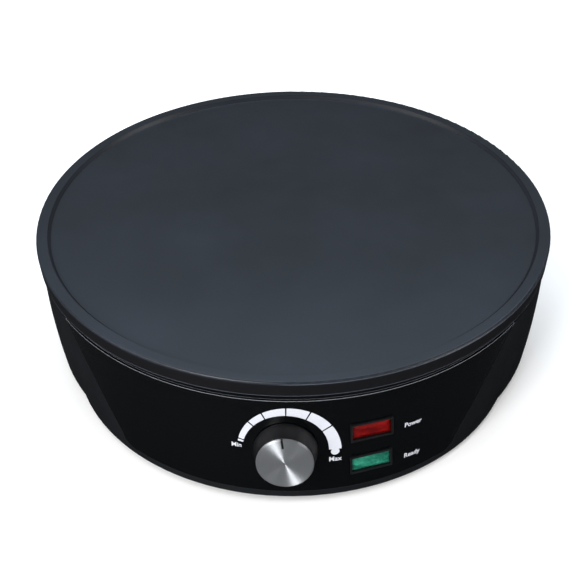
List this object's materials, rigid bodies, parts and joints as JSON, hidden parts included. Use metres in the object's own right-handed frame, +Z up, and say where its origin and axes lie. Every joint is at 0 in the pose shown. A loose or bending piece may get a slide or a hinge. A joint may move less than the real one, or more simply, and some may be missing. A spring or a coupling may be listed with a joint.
{
  "type": "electric crepe maker",
  "caption": "Round countertop crepe maker: flat rimmed hotplate over a tapered housing with a leaning front console, a temperature knob and two pilot lamps.",
  "frame": {"origin": "centre of the footprint's bounding rectangle on the table; the plate's own axis stands 8.03 mm behind it", "axes": "+Z up, -Y is the front with the knob and lamps, +X to the viewer's right when facing the front"},
  "size_m": [0.3, 0.316, 0.0765],
  "materials": {
    "coated_plate": "cast aluminium with a dark grey non-stick coating, fine satin grain",
    "element_steel": "heat-darkened stainless sheath",
    "zinc_steel": "bright zinc plated",
    "shield_steel": "bright aluminised sheet",
    "spring_steel": "blue-grey spring steel",
    "ceramic": "unglazed steatite",
    "copper_probe": "drawn copper",
    "fuse_case": "plated brass case",
    "housing_plastic": "fine-grained matt moulding, near black",
    "panel_gloss": "polished black",
    "knob_plastic": "satin black moulding",
    "spun_aluminium": "spun, with a radial sheen",
    "foot_rubber": "matt black",
    "bush_plastic": "satin black nylon",
    "block_nylon": "natural nylon",
    "terminal_brass": "machined brass",
    "bezel_plastic": "satin black",
    "red_lens": "clear red, moulded facets",
    "green_lens": "clear green, moulded facets",
    "bulb_glass": "clear glass"
  },
  "bodies": {
    "base": {"block_screws": "zinc_steel", "bottom_cover": "housing_plastic", "bracket_screws": "zinc_steel", "control_bracket": "zinc_steel", "cord_bushing": "bush_plastic", "cover_screws": "zinc_steel", "element_straps": "zinc_steel", "foot_front_left": "foot_rubber", "foot_front_right": "foot_rubber", "foot_rear_left": "foot_rubber", "foot_rear_right": "foot_rubber", "front_panel": "panel_gloss", "fuse_clip": "zinc_steel", "fuse_clip_screws": "zinc_steel", "heat_shield": "shield_steel", "heating_element": "element_steel", "hotplate": "coated_plate", "housing_shell": "housing_plastic", "plate_screws": "zinc_steel", "plate_spacers": "ceramic", "power_lamp_bezel": "bezel_plastic", "power_lamp_body": "bezel_plastic", "power_lamp_bulb": "bulb_glass", "power_lamp_lens": "red_lens", "probe_clip": "zinc_steel", "probe_clip_screws": "zinc_steel", "ready_lamp_bezel": "bezel_plastic", "ready_lamp_body": "bezel_plastic", "ready_lamp_bulb": "bulb_glass", "ready_lamp_lens": "green_lens", "sensor_probe": "copper_probe", "strap_screws": "zinc_steel", "terminal_block": "block_nylon", "terminal_screws": "terminal_brass", "thermal_fuse": "fuse_case", "thermostat_body": "ceramic", "thermostat_screws": "zinc_steel"},
    "knob": {"knob_body": "knob_plastic", "knob_cap": "spun_aluminium", "knob_clip": "spring_steel", "thermostat_shaft": "zinc_steel"}
  },
  "joints": [
    {"name": "knob_turn", "type": "hinge", "parent": "base", "child": "knob", "pos_m": [0, -0.1446, 0.0339], "axis": [0, 0.9926, -0.1218], "range_deg": [-76.5, 99]}
  ]
}
